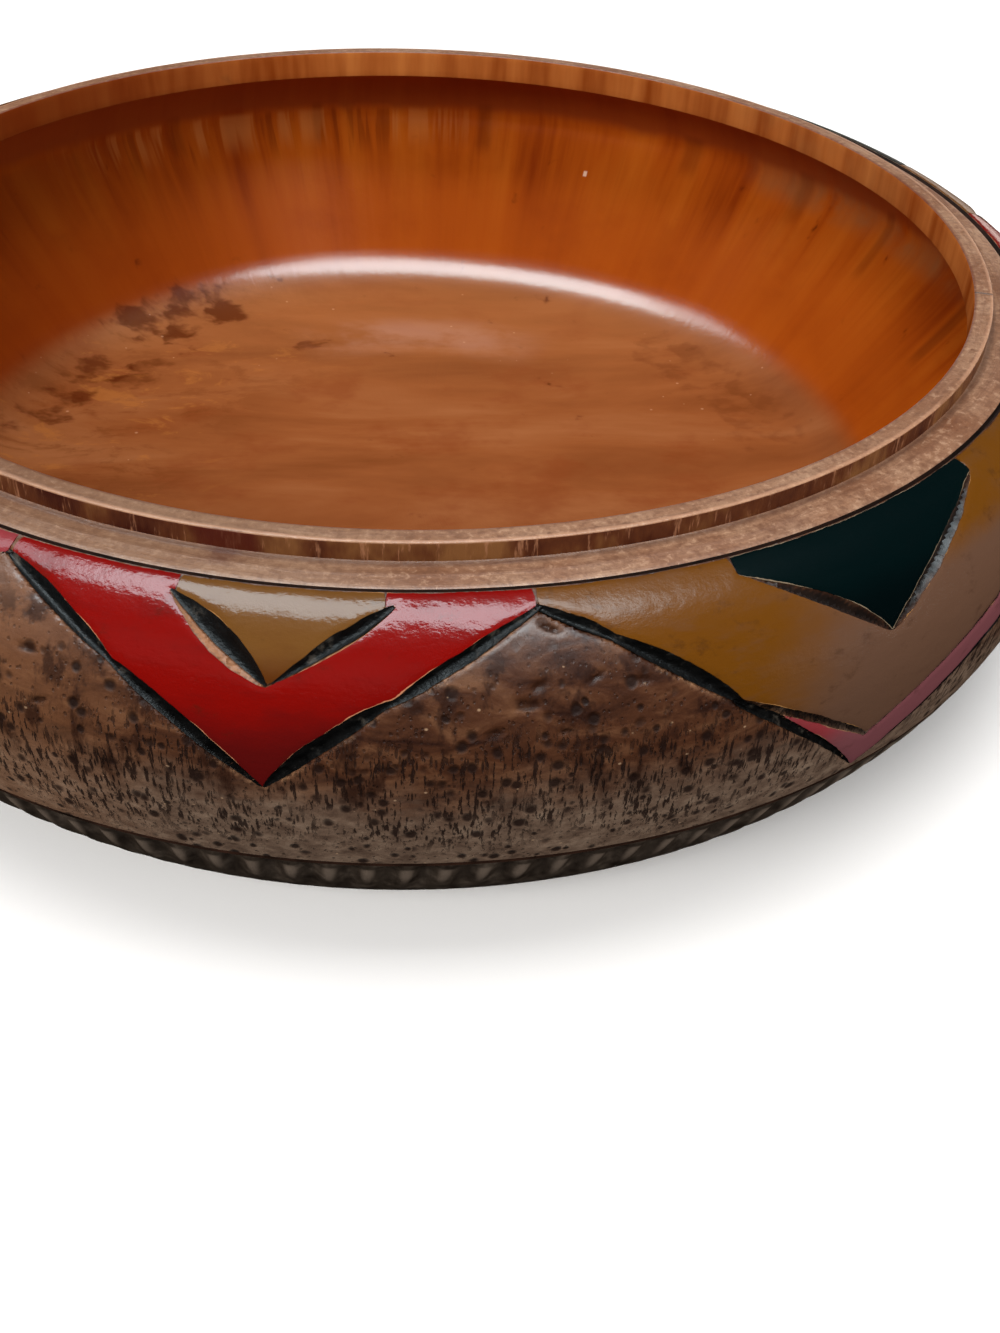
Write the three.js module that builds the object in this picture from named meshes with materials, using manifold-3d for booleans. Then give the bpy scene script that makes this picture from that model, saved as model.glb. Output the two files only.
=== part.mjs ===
// A shallow turned bowl with a lid seat, chevrons carved and painted in five colours, and a notched foot.
// Millimetres, +Z up. The origin is the centre of the base, on the table, and -Y is the front.
import * as THREE from 'three';
import { mergeVertices } from 'three/addons/utils/BufferGeometryUtils.js';
import Module from 'manifold-3d';

// Turned shape, outside
const rimHeight = 60;
const mouthRadius = 100;
const collarWall = 3.2;
const seatStep = 2.9;
const seatWidth = 5.6;
const bellyRadius = 123.8;
const bellyHeight = 37.4;
const shoulderSlope = THREE.MathUtils.degToRad(10);
const lowerArcRadial = 33.1;
const lowerArcUpright = 43.2;
const footCornerHeight = 2;
const baseRadius = 106;

// Turned shape, inside: the wall is hollowed out wider than the mouth
const lipFace = 5.6;
const cavityRadius = 117.3;
const cavityHeight = 40;
const floorRadius = 80;
const floorHeight = 6;
const floorFillet = 20;
const wallSlope = THREE.MathUtils.degToRad(47);

// The two turned lines: one round the lid seat, one above the notches
const lineWidth = 0.9;
const lineDepth = 0.8;
const notchLineHeight = 19.5;

// Notches round the foot, one gouge stroke each
const notchCount = 140;
const notchGouge = 3.3;
const notchDepth = 1.2;
const notchReach = 0.92;
const notchLean = THREE.MathUtils.degToRad(8);

// Coats of paint: how far one stands off the wood, how thick it is, and half the space between two
const coatGap = 0.3;
const coatThickness = 0.5;
const coatMargin = 0.35;

// Carved cuts: the gouge's radius and how deep it goes halfway. A hairline only parts two coats.
const wideCut = { gouge: 1.3, depth: 1.25 };
const narrowCut = { gouge: 1.0, depth: 1.05 };
const hairline = { gouge: 0.2, depth: 0.2 };

// How fast a cut deepens from its ends, the share of its line that is left at each, and where coats part
const cutSwell = 0.6;
const cutEnd = 0.03;
const cutLead = 1;

// The black paint in a cut: the space round it, and how far its top lies below the wood
const blackGap = 0.3;
const blackTop = 0.35;

// The pattern: corners as [degrees round from the front, height], for one of the repeats
const repeats = 4;
const seatLine = 56.2;
const redLeft = [-27.2, seatLine];
const redTip = [-8.9, 35.8];
const redRight = [7.6, seatLine];
const ochreLeft = [-15.3, seatLine];
const ochreTip = [-8.6, 49.6];
const ochreRight = [-1.8, seatLine];
const mustardLeft = [8.0, seatLine];
const mustardTip = [31.2, 29];
const mustardBend = [43.3, 41.5];
const mustardRight = [57.2, seatLine];
const mauveStart = [20.1, 43.7];
const mauveTip = [31.7, 21];
const mauveBend = [44.4, 36.4];
const mauveRight = [62.6, seatLine];
const tealLeft = [21.7, seatLine];
const tealTip = [31.9, 46.2];
const tealRight = [45.5, seatLine];

// Each edge is straight on a flat sheet that leans on the shoulder, one sheet for each pair of chevrons
const redCentre = -9.7;
const mustardCentre = 35.3;
const sheetLean = THREE.MathUtils.degToRad(35);
const runOn = 8;

// Fineness of the solids
const turnedSegments = 64;
const shoulderSteps = 4;
const lowerSteps = 2;
const ceilingSteps = 3;
const wallSteps = 3;
const filletSteps = 3;
const cutSides = 5;
const cutSteps = 4;
const notchSides = 5;
const halvings = 30;
const slopeStep = 0.01;
const weldReach = 1e-4;

const wasm = await Module();
wasm.setup();

// Outer profile: a quarter ellipse over the shoulder and part of another below the belly
const seatEdge = mouthRadius + collarWall + seatWidth;
const shoulderStart = new THREE.Vector2(seatEdge + lineWidth, rimHeight - seatStep);
const shoulderRadial = (bellyRadius - shoulderStart.x) / (1 - Math.sin(shoulderSlope));
const shoulderUpright = (shoulderStart.y - bellyHeight) / Math.cos(shoulderSlope);

function outerRadius(height) {
  const shoulder = height > bellyHeight;
  const radial = shoulder ? shoulderRadial : lowerArcRadial;
  const part = (height - bellyHeight) / (shoulder ? shoulderUpright : lowerArcUpright);
  return bellyRadius - radial * (1 - Math.sqrt(1 - Math.min(part * part, 1)));
}

// A point of the shoulder, from the seat line at 0 to the belly at 1, moved out by an offset
function shoulderPoint(part, offset) {
  const angle = THREE.MathUtils.lerp(shoulderSlope, Math.PI / 2, part);
  return new THREE.Vector2(
    bellyRadius - shoulderRadial * (1 - Math.sin(angle)) + offset * Math.sin(angle),
    bellyHeight + shoulderUpright * Math.cos(angle) + offset * Math.cos(angle),
  );
}

// A point below the belly, moved out along the surface's normal
function lowerPoint(height, offset) {
  const part = (bellyHeight - height) / lowerArcUpright;
  const fall = (lowerArcRadial / lowerArcUpright) * part / Math.sqrt(1 - part * part);
  const normal = new THREE.Vector2(1, -fall).normalize();
  return new THREE.Vector2(outerRadius(height), height).addScaledVector(normal, offset);
}

// The belly from the notch line up to the seat line
function bellyProfile(offset) {
  const bottom = notchLineHeight + lineWidth / 2;
  const lower = Array.from({ length: lowerSteps }, (_, i) =>
    lowerPoint(THREE.MathUtils.lerp(bottom, bellyHeight, i / lowerSteps), offset));
  const shoulder = Array.from({ length: shoulderSteps + 1 }, (_, i) =>
    shoulderPoint(1 - i / shoulderSteps, offset));
  return [...lower, ...shoulder];
}

// A quarter ellipse between two points, which leaves the first one level
function quarterArc(from, to, steps) {
  return Array.from({ length: steps + 1 }, (_, i) => {
    const turn = (i / steps) * (Math.PI / 2);
    const x = THREE.MathUtils.lerp(from.x, to.x, Math.sin(turn));
    const y = THREE.MathUtils.lerp(from.y, to.y, 1 - Math.cos(turn));
    return new THREE.Vector2(x, y);
  });
}

// The inside wall from its widest down to the fillet, which then runs into the floor
function wallAndFillet() {
  const fillet = Array.from({ length: filletSteps + 1 }, (_, i) => {
    const slope = wallSlope * (1 - i / filletSteps);
    const x = floorRadius + floorFillet * Math.sin(slope);
    return new THREE.Vector2(x, floorHeight + floorFillet * (1 - Math.cos(slope)));
  });
  const widest = new THREE.Vector2(cavityRadius, cavityHeight);
  const foot = fillet[0];
  const bend = new THREE.Vector2(cavityRadius, foot.y + (cavityRadius - foot.x) * Math.tan(wallSlope));
  const wall = new THREE.QuadraticBezierCurve(widest, bend, foot).getPoints(wallSteps);
  return [...wall.slice(1), ...fillet.slice(1)];
}

function turnedSolid(profile) {
  return toSolid(new THREE.LatheGeometry(profile, turnedSegments).rotateX(Math.PI / 2));
}

// A closed geometry as a solid that can be cut
function toSolid(geometry) {
  geometry.deleteAttribute('normal');
  geometry.deleteAttribute('uv');
  const merged = mergeVertices(geometry, weldReach);
  const triangles = [];
  const index = merged.index.array;
  for (let i = 0; i < index.length; i += 3) {
    const [a, b, c] = index.slice(i, i + 3);
    if (a !== b && b !== c && c !== a) triangles.push(a, b, c);
  }
  const vertProperties = Float32Array.from(merged.attributes.position.array);
  const triVerts = Uint32Array.from(triangles);
  return new wasm.Manifold(new wasm.Mesh({ numProp: 3, vertProperties, triVerts }));
}

function toMesh(name, solid, material) {
  const cut = solid.getMesh();
  const geometry = new THREE.BufferGeometry();
  geometry.setAttribute('position', new THREE.BufferAttribute(Float32Array.from(cut.vertProperties), 3));
  geometry.setIndex(new THREE.BufferAttribute(Uint32Array.from(cut.triVerts), 1));
  geometry.computeVertexNormals();
  const mesh = new THREE.Mesh(geometry, material);
  mesh.name = name;
  return mesh;
}

function finish(color, roughness) {
  return new THREE.MeshStandardMaterial({ color, roughness, metalness: 0 });
}

// A drawing sheet: its directions along the rim, up the shoulder and straight off the sheet
function drawingSheet(degrees) {
  const turn = THREE.MathUtils.degToRad(degrees);
  const out = new THREE.Vector3(Math.sin(turn), -Math.cos(turn), 0);
  const along = new THREE.Vector3(Math.cos(turn), Math.sin(turn), 0);
  const up = new THREE.Vector3(0, 0, Math.cos(sheetLean)).addScaledVector(out, -Math.sin(sheetLean));
  return { along, up, off: new THREE.Vector3().crossVectors(along, up) };
}

// A corner of the pattern as a spot on the sheet
function onSheet(sheet, [degrees, height]) {
  const turn = THREE.MathUtils.degToRad(degrees);
  const radius = outerRadius(height);
  const point = new THREE.Vector3(radius * Math.sin(turn), -radius * Math.cos(turn), height);
  return new THREE.Vector2(point.dot(sheet.along), point.dot(sheet.up));
}

// The outline of a field. A corner on the seat line runs on past it, where the coat itself ends.
function fieldOutline(sheet, corners) {
  return corners.map((corner) => {
    const spot = onSheet(sheet, corner);
    if (corner[1] === seatLine) spot.y += runOn;
    return spot;
  });
}

// A prism square to the sheet, through one side of the bowl
function sheetPrism(sheet, outline) {
  const shape = new THREE.Shape(outline);
  const prism = new THREE.ExtrudeGeometry(shape, { depth: bellyRadius, bevelEnabled: false });
  const place = new THREE.Matrix4().makeBasis(sheet.along, sheet.up, sheet.off);
  place.setPosition(sheet.off.clone().multiplyScalar(bellyRadius / 2));
  return toSolid(prism.applyMatrix4(place));
}

// The point of the belly behind a spot on the sheet, found by halving, and its outward normal
function bellyBehind(sheet, spot) {
  const onto = sheet.along.clone().multiplyScalar(spot.x).addScaledVector(sheet.up, spot.y);
  let distance = bellyRadius;
  for (let step = bellyRadius / 2, i = 0; i < halvings; step /= 2, i++) {
    const point = onto.clone().addScaledVector(sheet.off, distance);
    const outside = Math.hypot(point.x, point.y) > outerRadius(Math.min(point.z, shoulderStart.y));
    distance += outside ? -step : step;
  }
  const point = onto.addScaledVector(sheet.off, distance);
  const fall = outerRadius(point.z - slopeStep) - outerRadius(point.z + slopeStep);
  const level = new THREE.Vector3(point.x, point.y, 0).normalize();
  return { point, normal: level.setZ(fall / (2 * slopeStep)).normalize() };
}

// A stroke of a round gouge along a line of the sheet: shallow at both ends and deepest halfway.
// slimmer takes that much off the tool all round.
function gougeStroke({ sheet, line, size }, slimmer) {
  const spots = line.map((corner) => onSheet(sheet, corner));
  const path = new THREE.CurvePath();
  spots.slice(1).forEach((spot, i) => path.add(new THREE.LineCurve(spots[i], spot)));
  const centres = Array.from({ length: cutSteps + 1 }, (_, i) => {
    const part = THREE.MathUtils.lerp(cutEnd, 1 - cutEnd, i / cutSteps);
    const { point, normal } = bellyBehind(sheet, path.getPointAt(part));
    const depth = size.depth * Math.sin(Math.PI * part) ** cutSwell;
    return point.addScaledVector(normal, size.gouge - depth);
  });
  const circle = new THREE.Path().absarc(0, 0, size.gouge - slimmer, 0, Math.PI * 2);
  const section = new THREE.Shape(circle.getPoints(cutSides).slice(0, -1));
  const extrudePath = new THREE.CatmullRomCurve3(centres, false, 'centripetal');
  return toSolid(new THREE.ExtrudeGeometry(section, { steps: cutSteps, extrudePath, bevelEnabled: false }));
}

// The same stroke as it parts the coats beside it: a long lens on the sheet
function strokeOutline({ sheet, line, size }) {
  const spots = line.map((corner) => onSheet(sheet, corner));
  const halfWidth = Math.sqrt(size.gouge ** 2 - (size.gouge - size.depth) ** 2) + coatMargin;
  const left = [];
  const right = [];
  spots.slice(1).forEach((spot, i) => {
    const along = spot.clone().sub(spots[i]);
    const across = new THREE.Vector2(-along.y, along.x).normalize();
    const middle = spots[i].clone().addScaledVector(along, 1 / 2);
    const start = spots[i].clone();
    if (i === 0) start.addScaledVector(along.normalize(), -cutLead);
    for (const [side, edge] of [[1, left], [-1, right]]) {
      edge.push(start.clone().addScaledVector(across, side * coatMargin));
      edge.push(middle.clone().addScaledVector(across, side * halfWidth));
    }
  });
  return [...left, spots.at(-1), ...right.reverse()];
}

// The turned block, from the centre of the base round the outside, over the rim and down to the floor
function turnedBlock() {
  const seatHeight = rimHeight - seatStep;
  return turnedSolid([
    new THREE.Vector2(0, 0),
    new THREE.Vector2(baseRadius, 0),
    lowerPoint(footCornerHeight, 0),
    lowerPoint((footCornerHeight + notchLineHeight) / 2, 0),
    lowerPoint(notchLineHeight - lineWidth / 2, 0),
    lowerPoint(notchLineHeight, -lineDepth),
    ...bellyProfile(0),
    new THREE.Vector2(seatEdge + lineWidth / 2, shoulderStart.y - lineDepth),
    new THREE.Vector2(seatEdge, seatHeight),
    new THREE.Vector2(mouthRadius + collarWall, seatHeight),
    new THREE.Vector2(mouthRadius + collarWall, rimHeight),
    new THREE.Vector2(mouthRadius, rimHeight),
    ...quarterArc(new THREE.Vector2(mouthRadius, rimHeight - lipFace),
      new THREE.Vector2(cavityRadius, cavityHeight), ceilingSteps),
    ...wallAndFillet(),
    new THREE.Vector2(0, floorHeight),
  ]);
}

// One notch at the front: the gouge lies along the foot and leans a little to one side
function notchStroke() {
  const top = lowerPoint(notchLineHeight - lineWidth, 0);
  const bottom = lowerPoint(footCornerHeight, 0);
  const middle = lowerPoint((top.y + bottom.y) / 2, notchGouge - notchDepth);
  const length = top.distanceTo(bottom) * notchReach;
  const stroke = new THREE.CylinderGeometry(notchGouge, notchGouge, length, notchSides, 1);
  stroke.rotateX(Math.PI / 2 + Math.atan2(top.x - bottom.x, top.y - bottom.y));
  stroke.rotateY(notchLean);
  return toSolid(stroke.translate(0, -middle.x, middle.y));
}

// The coat that would cover the whole belly, of which each painted field is a piece
function bellyCoat() {
  const inside = bellyProfile(coatGap);
  const outside = bellyProfile(coatGap + coatThickness);
  return turnedSolid([...outside, ...inside.reverse(), outside[0]]);
}

function copiesRound(solid, count) {
  return Array.from({ length: count }, (_, i) => solid.rotate([0, 0, (i * 360) / count]));
}

const redSheet = drawingSheet(redCentre);
const mustardSheet = drawingSheet(mustardCentre);

// The cuts of one repeat. Those round the teal are left as bare wood, and black paint lies in the others.
const blackCuts = {
  red_black_left: { sheet: redSheet, line: [redLeft, redTip], size: wideCut },
  red_black_right: { sheet: redSheet, line: [redTip, redRight], size: wideCut },
  ochre_black_left: { sheet: redSheet, line: [ochreLeft, ochreTip], size: wideCut },
  ochre_black_right: { sheet: redSheet, line: [ochreTip, ochreRight], size: narrowCut },
  mustard_black: { sheet: mustardSheet, line: [mustardLeft, mauveStart], size: wideCut },
  mauve_black_left: { sheet: mustardSheet, line: [mauveStart, mauveTip], size: narrowCut },
  mauve_black_right: { sheet: mustardSheet, line: [mauveTip, mauveBend, mauveRight], size: narrowCut },
};
const bareCuts = {
  teal_left: { sheet: mustardSheet, line: [tealLeft, tealTip], size: narrowCut },
  teal_right: { sheet: mustardSheet, line: [tealTip, tealRight], size: narrowCut },
};
const divider = {
  sheet: mustardSheet,
  line: [mauveStart, mustardTip, mustardBend, mustardRight],
  size: hairline,
};
const everyCut = [...Object.values(blackCuts), ...Object.values(bareCuts)];

// The painted fields of one repeat
const fields = {
  red_chevron: {
    sheet: redSheet,
    corners: [redLeft, redTip, redRight, ochreRight, ochreTip, ochreLeft],
    material: finish(0xb01511, 0.35),
  },
  ochre_triangle: {
    sheet: redSheet,
    corners: [ochreLeft, ochreTip, ochreRight],
    material: finish(0x9a6a1e, 0.4),
  },
  mustard_chevron: {
    sheet: mustardSheet,
    corners: [mustardLeft, mauveStart, mustardTip, mustardBend, mustardRight, tealRight, tealTip, tealLeft],
    material: finish(0xa87413, 0.4),
  },
  mauve_edging: {
    sheet: mustardSheet,
    corners: [mauveStart, mauveTip, mauveBend, mauveRight, mustardRight, mustardBend, mustardTip],
    material: finish(0x72323c, 0.4),
  },
  teal_triangle: {
    sheet: mustardSheet,
    corners: [tealLeft, tealTip, tealRight],
    material: finish(0x03161a, 0.35),
  },
};
const black = finish(0x1c1c1c, 0.6);
const wood = finish(0x6b4a33, 0.55);

const bowl = new THREE.Group();

const strokes = wasm.Manifold.union(everyCut.map((cut) => gougeStroke(cut, 0)));
const carving = [...copiesRound(strokes, repeats), ...copiesRound(notchStroke(), notchCount)];
bowl.add(toMesh('bowl_block', turnedBlock().subtract(wasm.Manifold.union(carving)), wood));

const coat = bellyCoat();
const partings = wasm.Manifold.union([...everyCut, divider]
  .map((cut) => sheetPrism(cut.sheet, strokeOutline(cut))));
for (const [name, { sheet, corners, material }] of Object.entries(fields)) {
  const field = coat.intersect(sheetPrism(sheet, fieldOutline(sheet, corners))).subtract(partings);
  copiesRound(field, repeats).forEach((copy, i) => bowl.add(toMesh(`${name}_${i + 1}`, copy, material)));
}

// The black paint fills the bottom of each cut, and its top lies a little below the wood's surface.
// Where a shallow end leaves a loose crumb of it, only the bead is kept.
const core = turnedSolid([new THREE.Vector2(0, notchLineHeight), ...bellyProfile(-blackTop),
  new THREE.Vector2(0, shoulderStart.y)]);
for (const [name, cut] of Object.entries(blackCuts)) {
  const [bead] = gougeStroke(cut, blackGap).intersect(core).decompose()
    .sort((one, other) => other.volume() - one.volume());
  copiesRound(bead, repeats).forEach((copy, i) => bowl.add(toMesh(`${name}_${i + 1}`, copy, black)));
}

export default bowl;
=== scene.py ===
import math

import bpy
import numpy as np
from mathutils import Matrix, Vector


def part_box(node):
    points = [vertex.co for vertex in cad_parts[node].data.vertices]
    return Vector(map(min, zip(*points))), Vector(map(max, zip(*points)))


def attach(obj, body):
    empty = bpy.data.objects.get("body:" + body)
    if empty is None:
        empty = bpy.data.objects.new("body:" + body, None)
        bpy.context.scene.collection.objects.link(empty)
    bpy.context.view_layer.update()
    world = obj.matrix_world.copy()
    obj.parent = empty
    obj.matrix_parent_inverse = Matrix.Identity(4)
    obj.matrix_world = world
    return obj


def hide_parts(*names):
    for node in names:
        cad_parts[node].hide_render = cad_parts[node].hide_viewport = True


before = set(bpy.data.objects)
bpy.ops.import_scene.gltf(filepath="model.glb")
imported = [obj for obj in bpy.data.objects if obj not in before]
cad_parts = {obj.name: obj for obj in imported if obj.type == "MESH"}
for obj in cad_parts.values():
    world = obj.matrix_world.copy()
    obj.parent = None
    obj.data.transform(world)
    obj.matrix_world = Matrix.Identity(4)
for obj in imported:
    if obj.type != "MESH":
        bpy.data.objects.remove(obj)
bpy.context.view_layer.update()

mm = 0.001
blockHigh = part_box("bowl_block")[1]

# The turned block, in millimetres. Its width and height come from the frame.
block = {
    "rimHeight": blockHigh[2] / mm,
    "bellyRadius": blockHigh[0] / mm,
    "mouthRadius": 100.0,
    "collarWall": 3.2,
    "seatStep": 2.9,
    "seatWidth": 5.6,
    "bellyHeight": 37.4,
    "shoulderSlope": math.radians(10),
    "lowerArcRadial": 33.1,
    "lowerArcUpright": 43.2,
    "footCornerHeight": 1.2,
    "baseRadius": 106.0,
    "lipFace": 5.6,
    "cavityRadius": 117.3,
    "cavityHeight": 40.0,
    "wallSlope": math.radians(47),
    "floorFillet": 20.0,
    "floorRadius": 80.0,
    "floorHeight": 6.0,
    "lineWidth": 0.9,
    "lineDepth": 0.8,
    "notchLineHeight": 19.5,
    "edgeRound": 0.35,          # how far the turned edges are worn round
    "columns": 1400,            # facets round the outside, ten to a notch
    "bellyStep": 0.5,           # spacing of the rows on the belly
    "footRows": 24,
    "hollowRows": 14,           # rows on each of the undercut, the wall and the floor's edge
    # Rows of the flat faces: a radius and how many facets run together there, or a radius and how far it is worn
    "underRows": ((20, 40), (50, 8), (76, 4), (92, 2)),
    "floorRows": ((72, 4), (62, 8), (44, 8), (22, 40)),
    "ledgeRows": ((108.0, 0.0), (107.0, 0.02), (106.2, 0.10), (105.9, 0.12), (105.5, 0.02), (104.4, -0.05)),
    "rimRows": (102.2, 101.3, 100.8),
    "stepRows": (0.8, 1.5, 2.2),
    "lipRows": (58.6, 57.2, 56.0),
}

# The notches round the foot
notches = {
    "count": 140,
    "depth": 0.95,
    "lean": -0.35,              # how far a notch leans, in notches from its bottom to its top
    "uneven": 0.2,
}

# The pattern: corners as (degrees round from the front, height) for one of the four repeats
repeats = 4
seatLine = 56.2
corner = {
    "redLeft": (-27.2, seatLine), "redTip": (-8.9, 35.8), "redRight": (7.76, seatLine),
    "ochreLeft": (-15.3, seatLine), "ochreTip": (-8.6, 49.6), "ochreRight": (-1.8, seatLine),
    "mustardLeft": (7.82, seatLine), "mustardTip": (31.2, 29.0), "mustardBend": (43.3, 41.5),
    "mustardRight": (57.2, seatLine),
    "mauveStart": (20.1, 43.7), "mauveTip": (31.7, 21.0), "mauveBend": (44.4, 36.4),
    "mauveRight": (62.6, seatLine),
    "tealLeft": (21.7, seatLine), "tealTip": (31.9, 46.2), "tealRight": (45.5, seatLine),
}
sheetLean = math.radians(35)
redCentre, mustardCentre = -9.7, 35.3       # where the sheets face, in degrees round from the front

# Each cut is one or two gouge strokes along a line of the pattern. A stroke starts and ends at a share of
# its line, reaches so far to the left and to the right of it, goes so deep and is widest somewhere between.
def stroke(start, end, left, right, deep, widest=0.5):
    return {"start": start, "end": end, "left": left, "right": right, "deep": deep, "widest": widest}


# Bank is the bare strip that the black leaves on the right of its line, and a cut without one has no black
def gouged(sheet, line, bank, *strokes):
    return {"sheet": sheet, "line": line, "bank": bank, "strokes": strokes}


cuts = {
    "red_black_left": gouged(redCentre, ["redLeft", "redTip"], 0.1, stroke(-0.03, 0.49, 1.5, 0.7, 1.1),
                             stroke(0.43, 1.0, 1.4, 0.8, 1.1, 0.45)),
    "red_black_right": gouged(redCentre, ["redTip", "redRight"], 0.2, stroke(0.0, 0.52, 1.6, 0.9, 1.1, 0.45),
                              stroke(0.46, 1.04, 0.6, 1.3, 0.9, 0.42)),
    "ochre_black_left": gouged(redCentre, ["ochreLeft", "ochreTip"], 1.1, stroke(-0.06, 1.0, 2.0, 1.7, 1.2, 0.55)),
    "ochre_black_right": gouged(redCentre, ["ochreTip", "ochreRight"], 0.4, stroke(0.0, 1.1, 1.0, 1.2, 1.0, 0.6)),
    "mustard_black": gouged(mustardCentre, ["mustardLeft", "mauveStart"], 0.15, stroke(-0.05, 0.42, 0.9, 0.8, 1.0),
                            stroke(0.2, 1.04, 1.2, 1.1, 1.1, 0.55)),
    "mauve_black_left": gouged(mustardCentre, ["mauveStart", "mauveTip"], 0.0,
                               stroke(-0.05, 1.0, 0.4, 1.0, 0.8, 0.25)),
    "mauve_black_right": gouged(mustardCentre, ["mauveTip", "mauveBend", "mauveRight"], 0.0,
                                stroke(0.0, 1.05, 0.45, 0.5, 0.6)),
    "teal_left": gouged(mustardCentre, ["tealLeft", "tealTip"], None, stroke(0.0, 1.0, 1.4, 0.5, 0.9, 0.62)),
    "teal_right": gouged(mustardCentre, ["tealTip", "tealRight"], None, stroke(0.0, 1.0, 1.1, 0.9, 0.9, 0.4)),
    "mauve_line": gouged(mustardCentre, ["mauveStart", "mustardTip", "mustardBend", "mustardRight"], None,
                         stroke(-0.04, 0.4, 0.65, 0.65, 0.7, 0.4), stroke(0.3, 1.05, 0.3, 0.35, 0.45)),
}

fields = {
    "red_chevron": {"sheet": redCentre, "slot": "red_paint", "fade": ((-10, 53), (-9, 36)), "edge": [
        "redLeft", "redTip", "redRight", "ochreRight", "ochreTip", "ochreLeft"]},
    "ochre_triangle": {"sheet": redCentre, "slot": "ochre_paint", "fade": ((-9, 56), (-9, 50)), "edge": [
        "ochreLeft", "ochreTip", "ochreRight"]},
    "mustard_chevron": {"sheet": mustardCentre, "slot": "mustard_paint", "fade": ((19, 47), (31, 36)), "edge": [
        "mustardLeft", "mauveStart", "mustardTip", "mustardBend", "mustardRight",
        "tealRight", "tealTip", "tealLeft"]},
    "mauve_edging": {"sheet": mustardCentre, "slot": "mauve_paint", "fade": ((24, 36), (31, 26)), "edge": [
        "mauveStart", "mauveTip", "mauveBend", "mauveRight", "mustardRight", "mustardBend", "mustardTip"]},
    "teal_triangle": {"sheet": mustardCentre, "slot": "teal_paint", "fade": ((24, 56), (32, 46)), "edge": [
        "tealLeft", "tealTip", "tealRight"]},
}

# The paint: how thick it is, how far it goes into the wood to be closed, and its lattice
paint = {
    "thickness": 0.14,
    "rooted": 0.2,
    "roundedOver": 0.5,
    "cell": 0.45,
    "seatGap": 0.15,            # bare wood between the paint and the line round the ledge
    "waver": 0.07,              # how uneven its edges are
    "patchTop": 0.05,           # the lattice starts here and runs on past the corners
    "patchMargin": math.radians(3),
    "patchBelow": 4,
    "patchLeast": 8,
    "fillCell": 0.3,
    "fillGap": 0.1,
    "leastBank": 0.3,           # a narrower bank has no colour of its own
    "fillAbove": 0.05,
    "fillRooted": 0.14,
    "undercut": 0.25,           # how far the wood lies below the black in a cut
}


def smooth(value, low, high):
    part = np.clip((value - low) / (high - low), 0, 1)
    return part * part * (3 - 2 * part)


# Outer profile, from the line round the ledge at run 0 down to the base
class OuterCurve:
    def __init__(self):
        b = block
        seatEdge = b["mouthRadius"] + b["collarWall"] + b["seatWidth"]
        self.start = (seatEdge + b["lineWidth"], b["rimHeight"] - b["seatStep"])
        across = (b["bellyRadius"] - self.start[0]) / (1 - math.sin(b["shoulderSlope"]))
        upright = (self.start[1] - b["bellyHeight"]) / math.cos(b["shoulderSlope"])
        turn = np.linspace(b["shoulderSlope"], math.pi / 2, 600)
        fall = np.linspace(0, math.asin(b["bellyHeight"] / b["lowerArcUpright"]), 900)[1:]
        radius = np.concatenate([
            b["bellyRadius"] - across * (1 - np.sin(turn)),
            b["bellyRadius"] - b["lowerArcRadial"] * (1 - np.cos(fall))])
        height = np.concatenate([
            b["bellyHeight"] + upright * np.cos(turn),
            b["bellyHeight"] - b["lowerArcUpright"] * np.sin(fall)])
        step = np.hypot(np.diff(radius), np.diff(height))
        self.run = np.concatenate([[0], np.cumsum(step)])
        self.radius, self.height = radius, height
        outR, outZ = -np.gradient(height, self.run), np.gradient(radius, self.run)
        size = np.hypot(outR, outZ)
        self.outR, self.outZ = outR / size, outZ / size

    def at(self, run):
        return [np.interp(run, self.run, values) for values in (self.radius, self.height, self.outR, self.outZ)]

    def radiusAt(self, height):
        return np.interp(-height, -self.height, self.radius)

    def runAt(self, height):
        return np.interp(-height, -self.height, self.run)


outer = OuterCurve()


def onBelly(turn, run, lift):
    radius, height, outR, outZ = outer.at(run)
    reach = radius + lift * outR
    return np.stack([reach * np.sin(turn), -reach * np.cos(turn), height + lift * outZ], axis=-1)


# Lines that are straight on a leaning sheet, laid on the belly as (turn, run)
def sheetAxes(centre):
    turn = math.radians(centre)
    out = np.array([math.sin(turn), -math.cos(turn), 0])
    along = np.array([math.cos(turn), math.sin(turn), 0])
    up = np.array([0, 0, math.cos(sheetLean)]) - math.sin(sheetLean) * out
    return along, up, np.cross(along, up)


def sheetLine(centre, first, last, points=24):
    along, up, off = sheetAxes(centre)
    ends = []
    for degrees, height in (corner[first], corner[last]):
        turn, radius = math.radians(degrees), outer.radiusAt(height)
        spot = np.array([radius * math.sin(turn), -radius * math.cos(turn), height])
        ends.append((spot @ along, spot @ up))
    share = np.linspace(0, 1, points)[:, None]
    flat = np.array(ends[0]) * (1 - share) + np.array(ends[1]) * share
    onto = flat[:, :1] * along + flat[:, 1:] * up
    distance = np.full(points, block["bellyRadius"])
    step = block["bellyRadius"] / 2
    for _ in range(30):
        spot = onto + distance[:, None] * off
        outside = np.hypot(spot[:, 0], spot[:, 1]) > outer.radiusAt(np.minimum(spot[:, 2], outer.start[1]))
        distance += np.where(outside, -step, step)
        step /= 2
    spot = onto + distance[:, None] * off
    return np.stack([np.arctan2(spot[:, 0], -spot[:, 1]), outer.runAt(spot[:, 2])], axis=1)


def drawnLine(centre, names):
    parts = [sheetLine(centre, names[i], names[i + 1]) for i in range(len(names) - 1)]
    return np.concatenate([parts[0]] + [part[1:] for part in parts[1:]])


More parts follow.
